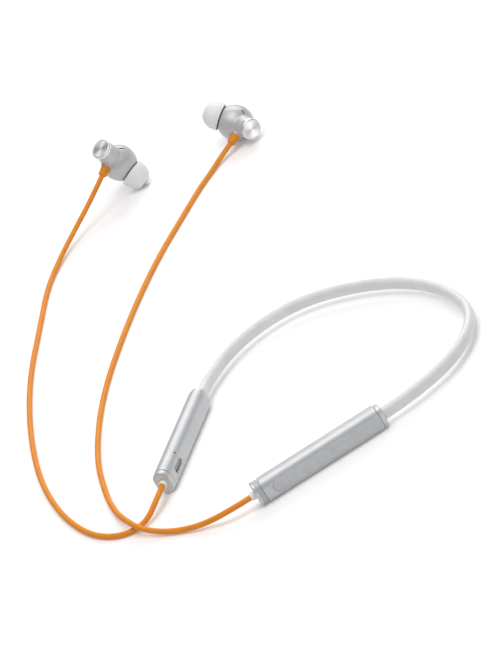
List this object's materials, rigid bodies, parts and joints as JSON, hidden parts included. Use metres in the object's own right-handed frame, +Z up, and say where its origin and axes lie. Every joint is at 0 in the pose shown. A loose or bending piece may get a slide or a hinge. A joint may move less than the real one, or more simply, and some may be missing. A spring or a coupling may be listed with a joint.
{
  "type": "neckband earphones",
  "caption": "Wireless neckband earphones with two silver pods, an orange cable from each pod, and silver earbuds with grey silicone tips.",
  "frame": {"origin": "middle of the neck opening, on the surface the pods lie on", "axes": "+X to the battery pod, +Y to the back of the neck, +Z up off the surface"},
  "size_m": [0.3328, 0.2672, 0.0296],
  "materials": {
    "band_silicone": "smooth satin",
    "black_plastic": "moulded",
    "board": "solder mask",
    "cell_wrap": "shrink wrap",
    "clear_plastic": "clear",
    "cream_collar": "matte",
    "dark_mesh": "fine woven",
    "grey_face": "fine matte",
    "inner_plastic": "moulded",
    "nozzle_plastic": "moulded",
    "orange_jacket": "satin orange",
    "plate_silver": "satin",
    "shell_silver": "satin silver paint",
    "silver_paint": "satin silver",
    "spun_aluminium": "concentric spun, polished rim",
    "steel": "bright",
    "tip_silicone": "matte, slightly translucent",
    "wire_lacquer": "insulation"
  },
  "bodies": {
    "neckband": {"band_sleeve": "band_silicone", "band_memory_wire": "steel", "band_wiring": "wire_lacquer", "band_anchor_left": "steel", "band_anchor_right": "steel", "control_pod_band_plate": "plate_silver", "control_pod_cable_plate": "plate_silver", "cable_collar_left": "cream_collar", "battery_pod_band_plate": "plate_silver", "battery_pod_cable_plate": "plate_silver", "cable_collar_right": "cream_collar", "control_pod_sleeve": "silver_paint", "control_pod_keel": "inner_plastic", "control_board": "board", "usb_c_receptacle": "steel", "microphone": "steel", "status_led": "clear_plastic", "status_light_guide": "clear_plastic", "button_switches": "black_plastic", "battery_pod_sleeve": "silver_paint", "battery_pod_face": "grey_face", "battery_cell": "cell_wrap", "battery_protection_board": "board", "battery_pod_keel": "inner_plastic", "earbud_shell_left": "shell_silver", "earbud_cap_left": "spun_aluminium", "earbud_magnet_left": "steel", "earbud_driver_left": "black_plastic", "earbud_nozzle_left": "nozzle_plastic", "nozzle_mesh_left": "dark_mesh", "vent_mesh_left": "dark_mesh", "strain_relief_left": "orange_jacket", "earbud_shell_right": "shell_silver", "earbud_cap_right": "spun_aluminium", "earbud_magnet_right": "steel", "earbud_driver_right": "black_plastic", "earbud_nozzle_right": "nozzle_plastic", "nozzle_mesh_right": "dark_mesh", "vent_mesh_right": "dark_mesh", "strain_relief_right": "orange_jacket", "cable_left": "orange_jacket", "cable_right": "orange_jacket"},
    "volume_up_button": {"volume_up_button": "silver_paint"},
    "multifunction_button": {"multifunction_button": "silver_paint"},
    "volume_down_button": {"volume_down_button": "silver_paint"},
    "ear_tip_left": {"ear_tip_left": "tip_silicone"},
    "ear_tip_right": {"ear_tip_right": "tip_silicone"}
  },
  "joints": [
    {"name": "volume_up_press", "type": "slide", "parent": "neckband", "child": "volume_up_button", "axis": [0.8746, 0.4848, 0], "range_m": [0, 0.0003], "stiffness_N_per_m": 1500},
    {"name": "multifunction_press", "type": "slide", "parent": "neckband", "child": "multifunction_button", "axis": [0.8746, 0.4848, 0], "range_m": [0, 0.0003], "stiffness_N_per_m": 1500},
    {"name": "volume_down_press", "type": "slide", "parent": "neckband", "child": "volume_down_button", "axis": [0.8746, 0.4848, 0], "range_m": [0, 0.0003], "stiffness_N_per_m": 1500},
    {"name": "tip_left_pull", "type": "slide", "parent": "neckband", "child": "ear_tip_left", "axis": [0.552, 0.0906, -0.8289], "range_m": [0, 0.008]},
    {"name": "tip_right_pull", "type": "slide", "parent": "neckband", "child": "ear_tip_right", "axis": [-0.6874, -0.306, 0.6587], "range_m": [0, 0.008]}
  ]
}
